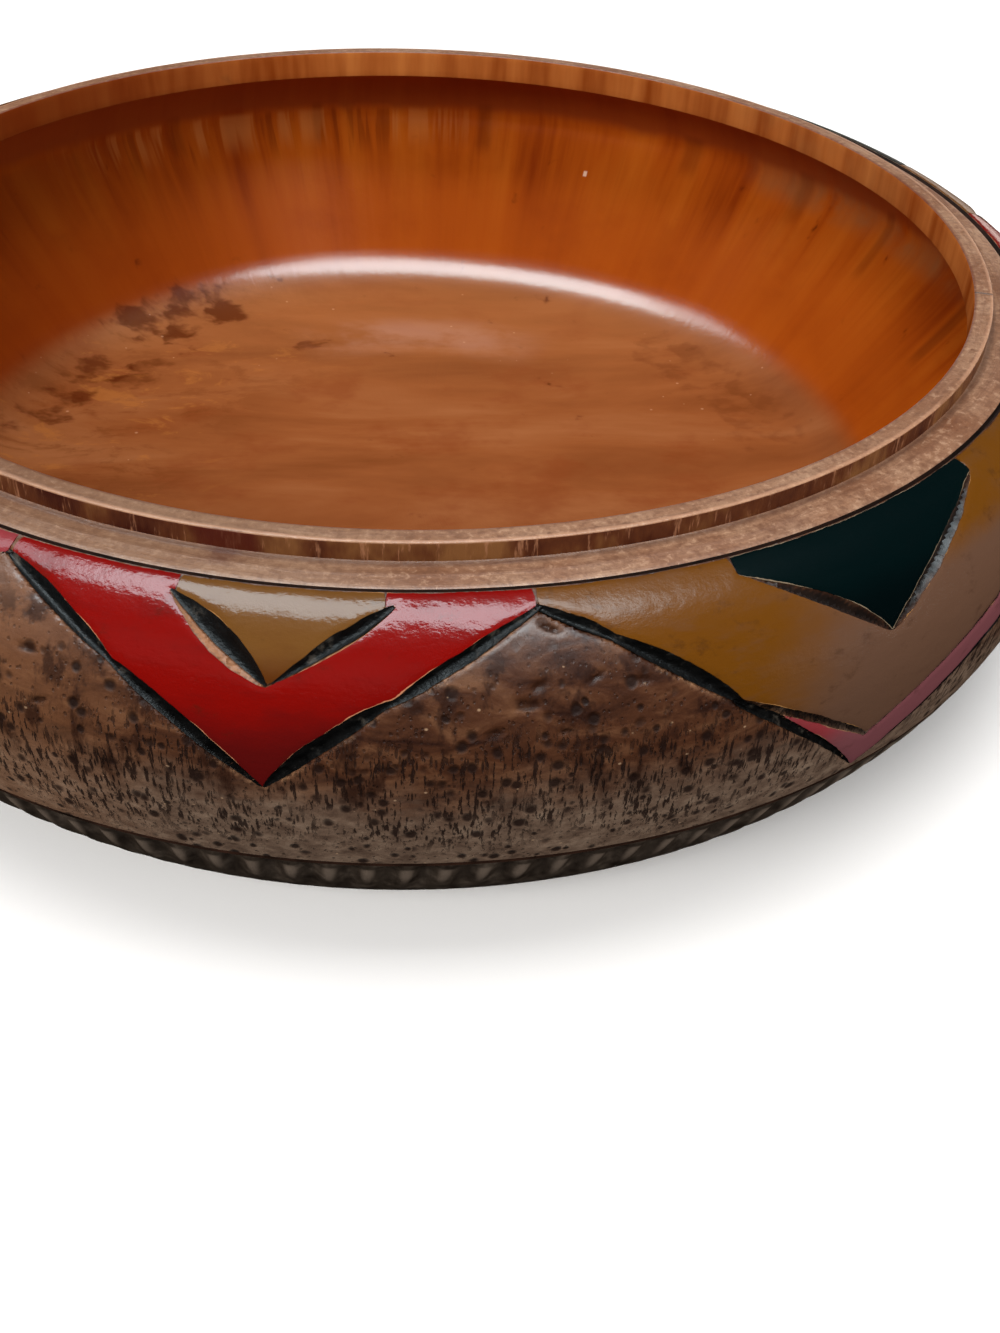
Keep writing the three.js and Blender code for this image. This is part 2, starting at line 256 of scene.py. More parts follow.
# Signed distance to a line on the belly, positive on its left, and how far along it the nearest point is
def offLine(turn, run, line, runsOn=9):
    radius = outer.at(run)[0]
    best = np.full(turn.shape, 1e9)
    side, share = np.zeros(turn.shape), np.zeros(turn.shape)
    meanRadius = outer.at(line[:, 1])[0]
    lengths = np.hypot(np.diff(line[:, 0]) * (meanRadius[1:] + meanRadius[:-1]) / 2, np.diff(line[:, 1]))
    before = np.concatenate([[0], np.cumsum(lengths)])
    last = len(lengths) - 1
    for i in range(len(lengths)):
        dx = (line[i + 1, 0] - line[i, 0]) * radius
        dy = -(line[i + 1, 1] - line[i, 1])
        px = (turn - line[i, 0]) * radius
        py = -(run - line[i, 1])
        size = dx * dx + dy * dy
        part = (px * dx + py * dy) / size
        held = np.clip(part, 0 if i else -runsOn, 1 if i < last else 1 + runsOn)
        away = np.hypot(px - held * dx, py - held * dy)
        nearer = away < best
        best = np.where(nearer, away, best)
        side = np.where(nearer, np.sign(dx * py - dy * px), side)
        share = np.where(nearer, (before[i] + held * lengths[i]) / before[-1], share)
    return best * side, share


# Uneven hand work: a few waves that never line up
def waver(turn, run, seed):
    dice = np.random.default_rng(seed)
    total = np.zeros(turn.shape)
    for wavelength, weight in ((9.0, 0.45), (3.7, 0.3), (1.7, 0.25)):
        angle, phase = dice.uniform(0, math.pi), dice.uniform(0, 2 * math.pi)
        x = turn * block["bellyRadius"] * math.cos(angle) + run * math.sin(angle)
        y = turn * block["bellyRadius"] * math.sin(angle) - run * math.cos(angle)
        total += weight * np.sin(2 * math.pi * x / wavelength + phase + 1.3 * np.sin(y * 2 / wavelength))
    return total


# How far inside a cut a spot lies (negative outside), and how deep the cut is there
def inCut(name, turn, run, bank=0.0):
    cut = cuts[name]
    line = drawnLine(cut["sheet"], cut["line"])
    off, share = offLine(turn, run, line)
    off = off + 0.1 * waver(turn, run, len(name))
    inside, depth = np.full(turn.shape, -9.0), np.zeros(turn.shape)
    for one in cut["strokes"]:
        part = np.clip((share - one["start"]) / (one["end"] - one["start"]), 0, 1)
        swell = np.sin(math.pi * part ** (math.log(0.5) / math.log(one["widest"]))) ** 0.7
        reach = np.where(off > 0, one["left"], one["right"] - bank) * swell
        beyond = np.where((share < one["start"]) | (share > one["end"]), 0.6, 0.0)
        inside = np.maximum(inside, reach - np.abs(off) - beyond)
        reach = np.where(off > 0, one["left"], one["right"]) * swell
        across = np.clip(np.abs(off) / np.maximum(reach, 1e-3), 0, 1)
        depth = np.maximum(depth, one["deep"] * swell * (1 - across ** 1.7) * (beyond == 0))
    return inside, depth


def insideField(name, turn, run):
    field = fields[name]
    names = field["edge"]
    outline, nearest = [], np.full(turn.shape, 1e9)
    for first, last in zip(names, names[1:] + names[:1]):
        if corner[first][1] == seatLine and corner[last][1] == seatLine:
            for end in (first, last):
                outline.append([[math.radians(corner[end][0]), -6.0]])
            continue
        line = sheetLine(field["sheet"], first, last)
        outline.append(line)
        nearest = np.minimum(nearest, np.abs(offLine(turn, run, line, 0)[0]))
    outline = np.concatenate(outline)
    crossings = np.zeros(turn.shape, bool)
    for (x0, y0), (x1, y1) in zip(outline, np.roll(outline, -1, axis=0)):
        if y0 == y1:
            continue
        spans = (y0 > run) != (y1 > run)
        crossings ^= spans & (turn < x0 + (run - y0) * (x1 - x0) / (y1 - y0))
    inside = np.where(crossings, nearest, -nearest)
    for cut in cuts:
        if cuts[cut]["sheet"] == field["sheet"]:
            inside = np.minimum(inside, -inCut(cut, turn, run)[0])
    top = run - paint["seatGap"] + 0.12 * waver(turn, run, 5)
    return np.minimum(inside, top) + paint["waver"] * waver(turn, run, 17) * smooth(inside, 2.0, 0.0)


# One flat lattice cell by cell, cut off where the value is negative, as points (turn, run) and faces
def clippedLattice(turns, runs, value):
    tiny = 0.02
    value = np.where(np.abs(value) < tiny, tiny, value)
    rows, columns = value.shape
    points, faces, known = [], [], {}

    def spot(key, turn, run):
        if key not in known:
            known[key] = len(points)
            points.append((turn, run))
        return known[key]

    inside = value > 0
    touched = inside[:-1, :-1] | inside[1:, :-1] | inside[:-1, 1:] | inside[1:, 1:]
    for i, j in np.argwhere(touched):
        ring = [(i + 1, j), (i + 1, j + 1), (i, j + 1), (i, j)]
        face = []
        for (a, b), (c, d) in zip(ring, ring[1:] + ring[:1]):
            if inside[a, b]:
                face.append(spot((a, b), turns[b], runs[a]))
            if inside[a, b] != inside[c, d]:
                (a2, b2), (c2, d2) = sorted([(a, b), (c, d)])
                part = value[a2, b2] / (value[a2, b2] - value[c2, d2])
                face.append(spot((a2, b2, c2, d2), turns[b2] + part * (turns[d2] - turns[b2]),
                                 runs[a2] + part * (runs[c2] - runs[a2])))
        if len(face) > 2:
            faces.append(face)
    return np.array(points), faces


# The largest connected part of a set of faces
def largestPart(points, faces):
    parent = list(range(len(points)))

    def root(i):
        while parent[i] != i:
            parent[i] = parent[parent[i]]
            i = parent[i]
        return i

    for face in faces:
        for other in face[1:]:
            parent[root(other)] = root(face[0])
    sizes = {}
    for face in faces:
        sizes[root(face[0])] = sizes.get(root(face[0]), 0) + 1
    keep = max(sizes, key=sizes.get)
    faces = [face for face in faces if root(face[0]) == keep]
    used = sorted({i for face in faces for i in face})
    fresh = {old: new for new, old in enumerate(used)}
    return points[used], [[fresh[i] for i in face] for face in faces]


# A closed skin from a sheet of faces: its top, its bottom and a wall round every open edge
def closedSkin(top, bottom, faces):
    count = len(top)
    loose = {}
    for face in faces:
        for a, b in zip(face, face[1:] + face[:1]):
            if (b, a) in loose:
                del loose[(b, a)]
            else:
                loose[(a, b)] = True
    walls = [[b, a, a + count, b + count] for a, b in loose]
    under = [[i + count for i in reversed(face)] for face in faces]
    return np.concatenate([top, bottom]), faces + under + walls


def meshPiece(name, points, faces, material, nodes, marks, sharp):
    mesh = bpy.data.meshes.new(name)
    mesh.from_pydata([tuple(p) for p in points * mm], [], faces)
    mesh.materials.append(material)
    for mark, values in (marks or {}).items():
        layer = mesh.attributes.new(mark, "FLOAT", "POINT")
        layer.data.foreach_set("value", np.asarray(values, np.float32))
    mesh.shade_smooth()
    mesh.set_sharp_from_angle(angle=math.radians(sharp))
    piece = bpy.data.objects.new(name, mesh)
    bpy.context.scene.collection.objects.link(piece)
    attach(piece, "root")
    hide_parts(*nodes)
    return piece


# The part of the belly near some corners where a value is positive, as turns, runs and faces
def patchOf(names, cell, valueAt):
    degrees = [corner[name][0] for name in names]
    left = math.radians(min(degrees)) - paint["patchMargin"]
    right = math.radians(max(degrees)) + paint["patchMargin"]
    low = max(outer.runAt(min(corner[name][1] for name in names)), paint["patchLeast"]) + paint["patchBelow"]
    turns = np.linspace(left, right, int((right - left) * block["bellyRadius"] / cell) + 1)
    runs = np.linspace(paint["patchTop"], low, int((low - paint["patchTop"]) / cell) + 1)
    flat, faces = largestPart(*clippedLattice(turns, runs, valueAt(*np.meshgrid(turns, runs))))
    return *flat.T, faces


# Lays a patch on the belly as a closed skin, once for each repeat
def layPatch(name, kind, turn, run, faces, lift, below, material, marks=None, sharp=40):
    points, skin = closedSkin(onBelly(turn, run, lift), onBelly(turn, run, below), faces)
    for quarter in range(repeats):
        angle = quarter * 2 * math.pi / repeats
        spin = np.array([[math.cos(angle), math.sin(angle), 0], [-math.sin(angle), math.cos(angle), 0], [0, 0, 1]])
        meshPiece(f"{name}{kind}{quarter + 1}", points @ spin, skin, material,
                  [f"{name}_{quarter + 1}"], marks, sharp)


# Node materials. A Finish holds one material, and its methods add nodes and give back their sockets.
def tone(red, green, blue):
    parts = [channel / 255 for channel in (red, green, blue)]
    linear = [p / 12.92 if p <= 0.04045 else ((p + 0.055) / 1.055) ** 2.4 for p in parts]
    return (*linear, 1.0)


class Finish:
    def __init__(self, name, coat=0.0, coatRoughness=0.1, specular=0.5, coatIor=1.5):
        self.material = bpy.data.materials.new(name)
        self.material.use_nodes = True
        self.nodes = self.material.node_tree.nodes
        self.links = self.material.node_tree.links
        self.nodes.clear()
        self.shader = self.node("BsdfPrincipled")
        for socket, value in (("Coat Weight", coat), ("Coat Roughness", coatRoughness), ("Coat IOR", coatIor),
                              ("Specular IOR Level", specular)):
            self.shader.inputs[socket].default_value = value
        self.node("OutputMaterial", Surface=self.shader.outputs[0])
        self.place = self.node("TexCoord").outputs["Object"]

    def plug(self, socket, value):
        if isinstance(value, bpy.types.NodeSocket):
            self.links.new(value, socket)
        else:
            socket.default_value = value

    # A new node, with a number or another node's output for each socket that is named
    def node(self, kind, **sockets):
        node = self.nodes.new("ShaderNode" + kind)
        for name, value in sockets.items():
            self.plug(node.inputs[name], value)
        return node

    def stretched(self, x, y, z, shift=(0, 0, 0)):
        return self.node("Mapping", Vector=self.place, Scale=(x, y, z), Location=shift).outputs[0]

    def noise(self, at, detail, roughness, distortion=0.0):
        return self.node("TexNoise", Vector=at, Scale=1.0, Detail=detail, Roughness=roughness,
                         Distortion=distortion).outputs[0]

    # Noise with so many grains to the metre each way
    def grain(self, x, y, z, detail, roughness=0.55, distortion=0.0, shift=(0, 0, 0)):
        return self.noise(self.stretched(x, y, z, shift), detail, roughness, distortion)

    def warped(self, at, scale, amount):
        moved = self.node("TexNoise", Vector=at, Scale=scale).outputs["Color"]
        for kind, other in (("SUBTRACT", (0.5, 0.5, 0.5)), ("MULTIPLY", (amount, amount, amount)), ("ADD", at)):
            step = self.nodes.new("ShaderNodeVectorMath")
            step.operation = kind
            self.links.new(moved, step.inputs[0])
            self.plug(step.inputs[1], other)
            moved = step.outputs[0]
        return moved

    def cells(self, at):
        node = self.node("TexVoronoi", Vector=at, Scale=1.0)
        dice = self.node("SeparateColor", Color=node.outputs["Color"])
        return node.outputs["Distance"], dice.outputs[0], dice.outputs[1]

    def sum(self, kind, *values):
        node = self.nodes.new("ShaderNodeMath")
        node.operation = kind
        for socket, value in zip(node.inputs, values):
            self.plug(socket, value)
        return node.outputs[0]

    def chain(self, kind, values):
        total = values[0]
        for value in values[1:]:
            total = self.sum(kind, total, value)
        return total

    def times(self, *values):
        return self.chain("MULTIPLY", values)

    def plus(self, *values):
        return self.chain("ADD", values)

    def most(self, *values):
        return self.chain("MAXIMUM", values)

    def minus(self, value, other):
        return self.sum("SUBTRACT", value, other)

    def step(self, value, low, high, start=0.0, end=1.0):
        node = self.nodes.new("ShaderNodeMapRange")
        node.interpolation_type = "SMOOTHSTEP"
        for socket, given in zip(node.inputs, (value, low, high, start, end)):
            self.plug(socket, given)
        return node.outputs[0]

    # One between the middle two values, and none outside the outer two
    def belt(self, value, low, lowFull, highFull, high):
        return self.times(self.step(value, low, lowFull), self.step(value, high, highFull))

    # Colours are red, green and blue from 0 to 255
    def ramp(self, value, *stops):
        node = self.node("ValToRGB", Fac=value)
        bar = node.color_ramp
        while len(bar.elements) < len(stops):
            bar.elements.new(0.5)
        for element, (position, *colour) in zip(bar.elements, stops):
            element.position = position
            element.color = tone(*colour)
        return node.outputs[0]

    def blend(self, amount, first, second):
        node = self.nodes.new("ShaderNodeMix")
        node.data_type = "RGBA"
        for index, value in ((0, amount), (6, first), (7, second)):
            self.plug(node.inputs[index], value)
        return node.outputs[2]

    # Lays another colour over the finish's own where the masks are
    def over(self, colour, *masks):
        self.colour = self.blend(self.times(*masks), self.colour, tone(*colour))

    def mark(self, name):
        node = self.nodes.new("ShaderNodeAttribute")
        node.attribute_name = name
        return node.outputs["Fac"]

    def axis(self, index):
        return self.node("SeparateXYZ", Vector=self.place).outputs[index]

    def radius(self):
        x, y = self.axis(0), self.axis(1)
        return self.sum("SQRT", self.plus(self.times(x, x), self.times(y, y)))

    # How far a point lies along the direction of a bearing
    def towards(self, turn):
        return self.plus(self.times(self.axis(0), math.sin(turn)), self.times(self.axis(1), -math.cos(turn)))

    def bearing(self, degrees, half, soft):
        cosine = self.sum("DIVIDE", self.towards(math.radians(degrees)), self.radius())
        return self.step(cosine, math.cos(math.radians(half + soft)), math.cos(math.radians(max(half - soft, 0))))

    # Noise that runs in rings round the axis, as a lathe leaves it
    def rings(self, spacing, wander, detail):
        slow = self.grain(45, 45, 45, 3)
        radius = self.times(self.radius(), 1000 / spacing)
        height = self.times(self.axis(2), 1000 / spacing)
        at = self.node("CombineXYZ", X=self.plus(radius, self.times(slow, wander * 10)), Y=height,
                       Z=self.times(slow, wander * 6))
        return self.noise(at.outputs[0], detail, 0.6)

    # Noise that runs straight up a wall, whatever the slope of the wall
    def upright(self, across, along, detail, roughness, shift=0.0):
        radius = self.radius()
        x, y = [self.times(self.sum("DIVIDE", self.axis(index), radius), across * 0.11) for index in (0, 1)]
        at = self.node("CombineXYZ", X=x, Y=y, Z=self.plus(self.times(self.axis(2), along), shift))
        return self.noise(at.outputs[0], detail, roughness)

    # Distance in metres from the upright plane on one bearing, and a mask for the side it lies on
    def aside(self, degrees):
        turn = math.radians(degrees)
        side = self.sum("ABSOLUTE", self.towards(turn + math.pi / 2))
        return side, self.sum("GREATER_THAN", self.towards(turn), 0.0)

    # One upright mark on a wall: a bearing, half its width in mm, and the heights it fades in and out between
    def stripe(self, degrees, half, low, high):
        side, ahead = self.aside(degrees)
        across = self.step(side, half * 1.6 * mm, half * 0.5 * mm)
        upright = self.belt(self.axis(2), (low - 2) * mm, (low + 2) * mm, (high - 1) * mm, (high + 1) * mm)
        return self.times(across, upright, ahead)

    def bump(self, height, distance, strength, onto=None):
        sockets = {"Strength": strength, "Distance": distance * mm, "Height": height}
        if onto:
            sockets["Normal"] = onto
        return self.node("Bump", **sockets).outputs[0]

    def finish(self, roughness, normal=None, coat=None, coatNormal=None):
        for name, value in (("Base Color", self.colour), ("Roughness", roughness), ("Normal", normal),
                            ("Coat Weight", coat), ("Coat Normal", coatNormal or normal)):
            if value is not None:
                self.plug(self.shader.inputs[name], value)
        return self.material


# Upright pores of the wood, which show as dashes where the surface is upright and as dots where it leans
def uprightPores(f, width, length, radius, share, shift=0.0, warp=0.0):
    at = f.stretched(1000 / width, 1000 / width, 1000 / length, (shift, shift, shift))
    if warp:
        at = f.warped(at, 0.8, warp)
    distance, dice, size = f.cells(at)
    reach = f.times(f.step(size, 0.0, 1.0, 0.55, 1.0), radius)
    pore = f.step(distance, reach, f.times(reach, 0.4))
    return f.times(pore, f.sum("LESS_THAN", dice, share))


def bellyWood():
    f = Finish("belly wood", coatRoughness=0.42, specular=0.3)
    z = f.axis(2)
    wobble = f.grain(50, 50, 50, 2)
    level = f.plus(z, f.times(f.minus(wobble, 0.5), 0.012))
    lowGrain = f.grain(330, 330, 500, 4, 0.6)
    topGrain = f.grain(130, 130, 330, 5, 0.62, 0.8)
    low = f.ramp(lowGrain, (0.3, 70, 53, 42), (0.52, 94, 75, 61), (0.75, 116, 97, 81))
    top = f.ramp(topGrain, (0.3, 36, 16, 8), (0.5, 64, 35, 18), (0.72, 92, 60, 38))
    f.colour = f.blend(f.step(level, 0.028, 0.041), low, top)
    # Painted light: the belly is lighter towards the front left
    f.over((132, 88, 56), f.bearing(-44, 18, 14), 0.35)
    patches = f.step(f.grain(270, 270, 120, 4, 0.65), 0.5, 0.64)
    f.over((34, 15, 7), patches, f.belt(level, 0.030, 0.037, 0.052, 0.0565), 0.8)
    hairs = f.step(f.grain(1500, 1500, 260, 3, 0.6), 0.54, 0.62)
    ticks = f.most(uprightPores(f, 0.7, 4.2, 0.36, 1.0), hairs)
    tickPatch = f.step(f.grain(110, 110, 110, 3), 0.30, 0.48)
    ticks = f.times(ticks, f.belt(level, 0.021, 0.028, 0.040, 0.046), tickPatch)
    grit = f.times(uprightPores(f, 0.8, 1.0, 0.4, 0.6, 3.0, 0.5), f.step(z, 0.054, 0.046, 0.4, 0.9))
    spots = f.times(uprightPores(f, 2.5, 2.6, 0.44, 1.0, 7.0, 0.35), f.step(level, 0.055, 0.047, 0.3, 1.0))
    pores = f.most(ticks, spots, f.times(grit, 0.55))
    f.over((24, 12, 8), pores, 0.9)
    flecks = uprightPores(f, 1.3, 1.0, 0.24, 0.07, 11.0)
    f.over((168, 138, 108), flecks, 0.5)
    scar = f.mark("scar")
    f.over((34, 16, 8), f.step(scar, 0.1, 0.6), 0.7)
    ragged = f.grain(500, 500, 500, 3, 0.6)
    # The wood along the cuts' lips is paler: worn bare edges, partly a painted highlight on them
    lip = f.times(f.mark("lip"), f.step(ragged, 0.42, 0.62), f.step(wobble, 0.42, 0.62))
    f.over((160, 118, 84), lip, 0.6)
    bank = f.times(f.mark("bank"), f.step(ragged, 0.2, 0.5, 0.6, 1.0))
    f.over((150, 104, 72), bank, 0.85)
    # The bare cuts round the teal are coloured dark brown-grey
    stain = f.blend(f.step(ragged, 0.6, 0.8), tone(18, 14, 12), tone(78, 62, 50))
    f.colour = f.blend(f.times(f.mark("darkCut"), 0.9), f.colour, stain)
    wrinkles = f.grain(700, 700, 420, 4, 0.65, 0.6)
    relief = f.plus(f.times(ragged, 0.65), f.times(wrinkles, f.step(z, 0.048, 0.030, 0.3, 0.9)))
    height = f.minus(relief, f.plus(pores, f.times(scar, 0.8)))
    coatNormal = f.bump(topGrain, 0.12, 0.6)
    normal = f.bump(height, 0.35, 0.9, coatNormal)
    rough = f.plus(f.times(pores, 0.2), f.step(z, 0.044, 0.055, 0.62, 0.42))
    # The sheen keeps clear of the ledge's line, the cuts' lips and the scars
    sheen = f.times(f.belt(z, 0.047, 0.053, 0.0550, 0.0556), f.step(f.mark("lip"), 0.6, 0.0), f.step(scar, 0.5, 0.0))
    return f.finish(rough, normal, sheen, coatNormal)


def footWood():
    f = Finish("foot wood", coat=0.1, coatRoughness=0.3, specular=0.3)
    grain = f.grain(420, 420, 160, 5, 0.6)
    f.colour = f.ramp(grain, (0.3, 30, 23, 18), (0.55, 55, 46, 38), (0.8, 86, 74, 63))
    # Painted highlight: the ridges between the notches are lighter
    f.over((114, 99, 86), f.step(f.mark("ridge"), 0.55, 1.0), 0.6)
    return f.finish(f.step(grain, 0.2, 0.8, 0.42, 0.6), f.bump(grain, 0.2, 0.7))


def ledgeWood():
    f = Finish("ledge wood", coat=0.15, coatRoughness=0.3, specular=0.35)
    radius = f.radius()
    broad = f.grain(60, 60, 60, 4, 0.6)
    grain = f.rings(0.8, 0.5, 4)
    speck = f.grain(600, 600, 600, 3, 0.6)
    f.colour = f.ramp(broad, (0.3, 108, 68, 44), (0.5, 130, 94, 70), (0.7, 146, 114, 90))
    f.over((98, 60, 40), f.step(grain, 0.45, 0.66, 0.0, 0.45))
    f.over((78, 40, 24), f.step(speck, 0.66, 0.72, 0.0, 0.6))
    smudge = f.step(f.grain(150, 150, 150, 5, 0.7, shift=(5, 0, 2)), 0.5, 0.68)
    f.over((98, 64, 44), smudge, 0.45)
    dust = f.grain(900, 900, 900, 4, 0.7)
    f.over((90, 56, 38), f.step(dust, 0.5, 0.62, 0.0, 0.5))
    f.over((186, 152, 124), f.step(dust, 0.46, 0.36, 0.0, 0.3))
    # Painted shade: the ledge is darker towards the front left
    f.over((98, 72, 52), f.bearing(-30, 22, 16), 0.5)
    rimEdge = f.belt(radius, 0.1023, 0.1028, 0.1032, 0.1036)
    f.over((180, 136, 106), rimEdge, f.step(grain, 0.35, 0.55), 0.45)
    innerEdge = f.step(radius, 0.1007, 0.0999)
    f.over((80, 24, 12), innerEdge, 0.75)
    seatRoot = f.belt(radius, 0.1030, 0.1033, 0.1037, 0.1046)
    f.over((84, 52, 34), seatRoot, 0.6)
    side, ahead = f.aside(rimMarks["stain"])
    stain = f.times(f.step(f.plus(side, f.times(speck, 0.004)), 0.0056, 0.0024), ahead,
                    f.belt(radius, 0.1028, 0.1031, 0.1056, 0.1076))
    f.over((66, 26, 14), stain, 0.6)
    side, ahead = f.aside(rimMarks["crack"])
    crack = f.times(f.step(f.plus(side, f.times(speck, 0.0005)), 0.0006, 0.0003), ahead,
                    f.step(radius, 0.1036, 0.1030))
    f.over((58, 34, 22), crack, 0.85)
    height = f.minus(grain, f.times(crack, 3.0))
    normal = f.bump(height, 0.12, 0.8, f.bump(dust, 0.12, 0.7))
    return f.finish(f.step(grain, 0.2, 0.8, 0.36, 0.54), normal)


def stepWood():
    f = Finish("step wood", coat=0.1, coatRoughness=0.3, specular=0.35)
    broad = f.grain(110, 110, 60, 4, 0.65)
    dashes = f.grain(900, 900, 130, 4, 0.7)
    f.colour = f.ramp(broad, (0.36, 48, 13, 5), (0.5, 74, 36, 16), (0.66, 106, 68, 36))
    f.over((146, 100, 72), f.step(dashes, 0.56, 0.68, 0.0, 0.6))
    side, ahead = f.aside(rimMarks["stain"])
    f.over((62, 14, 7), f.step(side, 0.0055, 0.003), ahead, 0.8)
    return f.finish(0.5, f.bump(dashes, 0.2, 0.9))


def darkLine():
    f = Finish("line wood", specular=0.2)
    grain = f.grain(200, 200, 200, 4, 0.6)
    f.colour = f.ramp(grain, (0.3, 14, 8, 5), (0.7, 42, 24, 16))
    return f.finish(0.7, f.bump(grain, 0.1, 0.6))


def insideWood():
    f = Finish("inside wood", coatRoughness=0.2, specular=0.0, coatIor=1.6)
    z, radius = f.axis(2), f.radius()
    streaks = f.upright(110, 14, 4, 0.55)
    fine = f.upright(520, 40, 3, 0.6, 4.0)
    cloud = f.grain(38, 38, 50, 4, 0.6)
    calm = f.step(z, 0.018, 0.034, 0.35, 1.25)
    soft = f.plus(f.times(f.minus(streaks, 0.5), calm), 0.5)
    f.colour = f.ramp(soft, (0.3, 126, 48, 8), (0.5, 156, 71, 14), (0.7, 168, 84, 20))
    f.over((116, 40, 6), f.step(fine, 0.45, 0.75), calm, 0.2)
    f.over((124, 46, 7), f.step(cloud, 0.48, 0.7, 0.0, 0.3))
    f.over((106, 38, 6), f.step(z, 0.028, 0.016, 0.0, 0.25))
    # Painted shade: the wall is darker on the left
    left = f.bearing(innerMarks["darkBearing"], 28, 26)
    f.over((98, 30, 6), left, 0.48)
    wall = f.colour
    smear = f.grain(11, 46, 30, 5, 0.6, 0.4)
    mottle = f.grain(55, 75, 60, 4, 0.6)
    f.colour = f.ramp(smear, (0.3, 106, 55, 24), (0.5, 130, 73, 37), (0.7, 145, 90, 53))
    f.over((112, 50, 20), f.step(mottle, 0.5, 0.72, 0.0, 0.45))
    patchy = f.grain(60, 110, 70, 5, 0.72, 0.5, shift=(2, 0, 1))
    floorLeft = f.times(f.bearing(innerMarks["darkBearing"], 34, 30), f.step(radius, 0.030, 0.060))
    f.over((98, 48, 18), f.step(patchy, 0.5, 0.62), floorLeft, 0.45)
    f.over((160, 98, 44), f.step(patchy, 0.44, 0.34), floorLeft, 0.5)
    # Painted light and shade: the floor is lighter towards the back and darker towards the front
    across = f.axis(1)
    f.over((158, 102, 60), f.step(across, 0.02, 0.08, 0.0, 0.35))
    f.over((98, 48, 27), f.step(across, 0.01, -0.05, 0.0, 0.36))
    f.colour = f.blend(f.step(z, 0.0125, 0.0085), wall, f.colour)
    # Dark blots where the floor turns up at the back left, a paler patch that is a painted reflection, and a few
    # specks
    blotAt = f.warped(f.stretched(150, 190, 120, (0.4, 0.2, 0)), 1.0, 0.6)
    blotNoise = f.noise(blotAt, 3, 0.5)
    for bearing, half, low, high, share, strength in innerMarks["blots"]:
        where = f.times(f.bearing(bearing, half, 5),
                        f.belt(radius, low - 0.003, low + 0.003, high - 0.003, high + 0.003))
        blot = f.plus(blotNoise, f.times(f.minus(where, 1.0), 0.3))
        f.over((70, 22, 5), f.step(blot, 0.93 - share, 1.13 - share), strength)
    # Painted reflection: a pale patch on the floor towards the back
    pale = f.times(f.bearing(innerMarks["reflectionBearing"], 8, 22), f.belt(radius, 0.050, 0.060, 0.064, 0.074))
    f.over((172, 128, 108), pale, f.step(mottle, 0.3, 0.6), 0.4)
    specks = uprightPores(f, 4.0, 4.0, 0.12, 0.3, 2.0)
    f.over((200, 156, 120), specks, f.step(radius, 0.045, 0.065), f.step(z, 0.012, 0.008), 0.35)
    # Under the lip: a painted shadow band, drips below it, scuffs and a few upright marks, the first of them a
    # painted shadow edge
    ragged = f.upright(190, 50, 4, 0.6, 9.0)
    dripNoise = f.upright(230, 18, 3, 0.6, 2.0)
    dripBelt = f.times(f.bearing(innerMarks["dripBearing"], 20, 12), f.step(z, 0.0425, 0.0405))
    drips = f.times(f.step(dripNoise, 0.50, 0.58), f.step(z, 0.032, 0.038), dripBelt)
    f.over((176, 108, 54), drips, 0.5)
    gaps = f.times(f.step(dripNoise, 0.44, 0.38), f.step(z, 0.030, 0.036), dripBelt)
    f.over((88, 30, 7), gaps, 0.4)
    scuffs = f.times(f.step(mottle, 0.36, 0.6), f.step(ragged, 0.3, 0.7, 0.5, 1.0),
                     f.bearing(innerMarks["scuffBearing"], 15, 8), f.step(z, 0.034, 0.0385))
    f.over((126, 84, 50), scuffs, 0.7)
    # Painted shadow: a dark band on the wall just under the lip
    lipShadowEdge = f.step(f.plus(z, f.times(f.minus(streaks, 0.5), 0.005)), 0.0405, 0.0435)
    f.over((122, 52, 20), lipShadowEdge, f.step(z, 0.0543, 0.0535), 0.8)
    for bearing, half, low, high, strength in innerMarks["stripes"]:
        f.over((74, 24, 8), f.stripe(bearing, half, low, high), strength)
    side, ahead = f.aside(innerMarks["fleckBearing"])
    fleckBelt = f.belt(z, 0.0302, 0.0306, 0.0312, 0.0316)
    f.over((214, 176, 150), f.step(side, 0.0006, 0.0003), ahead, fleckBelt)
    below = f.colour
    f.colour = f.ramp(streaks, (0.35, 112, 54, 18), (0.65, 156, 98, 50))
    # Painted shade: the lip's inner face is darker on the left too
    f.over((78, 24, 6), left, 0.9)
    f.colour = f.blend(f.step(z, 0.0538, 0.0546, 0.0, 0.75), below, f.colour)
    speckle = f.grain(520, 520, 520, 3, 0.6)
    normal = f.bump(f.plus(fine, speckle, f.times(mottle, 1.5)), 0.06, 0.6)
    # The polish lies on the floor's edge, thinner on the flat floor, and is worn off the wall
    gloss = f.times(f.step(z, 0.0138, 0.0104, 0.03, 1.0), f.step(z, 0.0062, 0.0078, 0.5, 1.0))
    return f.finish(f.step(mottle, 0.2, 0.8, 0.34, 0.5), normal, gloss)


def underWood():
    f = Finish("underside wood")
    grain = f.grain(40, 500, 60, 5, 0.6)
    f.colour = f.ramp(grain, (0.3, 48, 32, 22), (0.55, 82, 58, 42), (0.75, 104, 78, 58))
    return f.finish(0.55, f.bump(grain, 0.1, 0.6))
